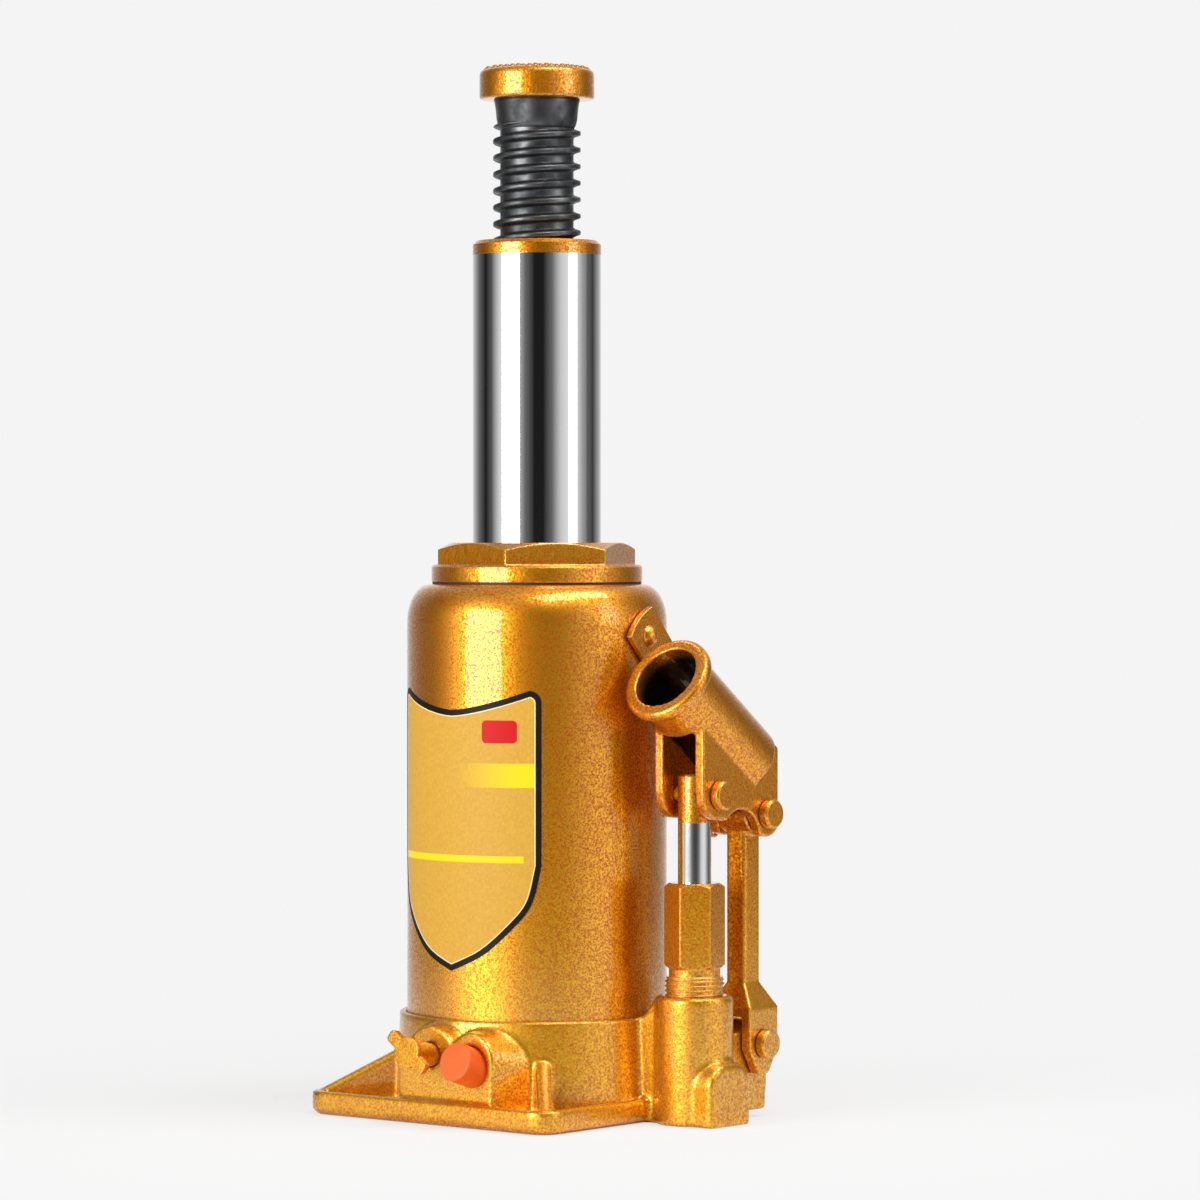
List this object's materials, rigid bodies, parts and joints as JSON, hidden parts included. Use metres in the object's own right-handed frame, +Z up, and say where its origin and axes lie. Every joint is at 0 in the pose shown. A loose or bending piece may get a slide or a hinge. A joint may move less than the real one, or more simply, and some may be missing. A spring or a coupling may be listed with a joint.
{
  "type": "hydraulic bottle jack",
  "caption": "Hydraulic bottle jack with a chromed ram, a threaded extension screw under its saddle, a side-mounted hand pump with a handle socket, and a swinging carry handle.",
  "frame": {"origin": "The ram's axis at ground level, under the middle of the base.", "axes": "+Z runs up the ram to the saddle, -Y faces the release valve and the handle, +X points at the hand pump."},
  "size_m": [0.1461, 0.1324, 0.3815],
  "materials": {
    "hammered_paint": "hammered gold enamel on cast iron and forged steel",
    "tank_paint": "hammered gold enamel on drawn steel",
    "hard_chrome": "hard chrome, ground and polished",
    "dark_steel": "oiled dark steel thread",
    "machined_steel": "turned steel",
    "zinc_steel": "bright zinc plate",
    "copper_gasket": "soft copper",
    "black_rubber": "oil-proof rubber",
    "orange_plastic": "moulded plastic"
  },
  "bodies": {
    "jack_base": {"base_casting": "hammered_paint", "reservoir_tank": "tank_paint", "tank_gasket": "black_rubber", "pressure_cylinder": "machined_steel", "cylinder_gasket": "copper_gasket", "cap_nut": "hammered_paint", "cap_gasket": "black_rubber", "ram_wiper": "black_rubber", "pump_cylinder": "hammered_paint", "pump_gasket": "copper_gasket", "pump_wiper": "black_rubber", "foot_pin": "zinc_steel", "foot_pin_cotter": "zinc_steel", "carry_rivets": "zinc_steel", "release_ball": "machined_steel", "overload_cap": "orange_plastic", "overload_screw": "machined_steel", "overload_spring": "machined_steel", "overload_ball": "machined_steel", "inlet_ball": "machined_steel", "outlet_ball": "machined_steel", "outlet_spring": "machined_steel", "outlet_plug": "hammered_paint", "filler_plug": "black_rubber"},
    "ram": {"ram": "hard_chrome", "piston_cup": "black_rubber", "piston_washer": "machined_steel", "piston_nut": "machined_steel"},
    "screw_stop": {"screw_stop_ring": "machined_steel"},
    "screw": {"extension_screw": "dark_steel"},
    "plunger": {"pump_plunger": "hard_chrome", "plunger_seal": "black_rubber"},
    "link": {"link": "hammered_paint"},
    "socket": {"handle_socket": "hammered_paint", "plunger_pin": "zinc_steel", "plunger_pin_cotter": "zinc_steel", "fulcrum_pin": "zinc_steel", "fulcrum_pin_cotter": "zinc_steel"},
    "carry_handle": {"carry_handle": "tank_paint"},
    "release_ring": {"release_seal": "black_rubber"},
    "release_valve": {"release_valve": "zinc_steel"}
  },
  "joints": [
    {"name": "ram_lift", "type": "slide", "parent": "jack_base", "child": "ram", "axis": [0, 0, 1], "range_m": [-0.1045, 0.0375]},
    {"name": "screw_rise", "type": "slide", "parent": "ram", "child": "screw_stop", "axis": [0, 0, 1], "range_m": [-0.0514, 0.0085]},
    {"name": "screw_turn", "type": "hinge", "parent": "screw_stop", "child": "screw", "pos_m": [0, 0, 0.3], "axis": [0, 0, 1], "range_deg": [-3083, 509]},
    {"name": "link_rock", "type": "hinge", "parent": "jack_base", "child": "link", "pos_m": [0.068, 0.0352, 0.0269], "axis": [-1, 0, 0], "range_deg": [-0.4, 0.08]},
    {"name": "handle_pump", "type": "hinge", "parent": "link", "child": "socket", "pos_m": [0.068, 0.0352, 0.1101], "axis": [-1, 0, 0], "range_deg": [-37.5, 6.4]},
    {"name": "pump_stroke", "type": "slide", "parent": "jack_base", "child": "plunger", "axis": [0, 0, 1], "range_m": [-0.019, 0.0033]},
    {"name": "carry_swing", "type": "hinge", "parent": "jack_base", "child": "carry_handle", "pos_m": [0, 0.0038, 0.1745], "axis": [1, 0, 0], "range_deg": [0, 114]},
    {"name": "release_rise", "type": "slide", "parent": "jack_base", "child": "release_ring", "axis": [0, -0.9903, 0.1392], "range_m": [0, 0.0013]},
    {"name": "release_turn", "type": "hinge", "parent": "release_ring", "child": "release_valve", "pos_m": [-0.0026, -0.0562, 0.025], "axis": [0, -0.9903, 0.1392], "range_deg": [0, 468.1]}
  ],
  "couplings": [
    {"joint": "screw_rise", "follows": "screw_turn", "m_per_rad": 0.00095493},
    {"joint": "link_rock", "follows": "handle_pump", "ratio": 0.01},
    {"joint": "pump_stroke", "follows": "handle_pump", "m_per_rad": 0.02875},
    {"joint": "release_turn", "follows": "release_rise", "rad_per_m": 6283.4}
  ]
}
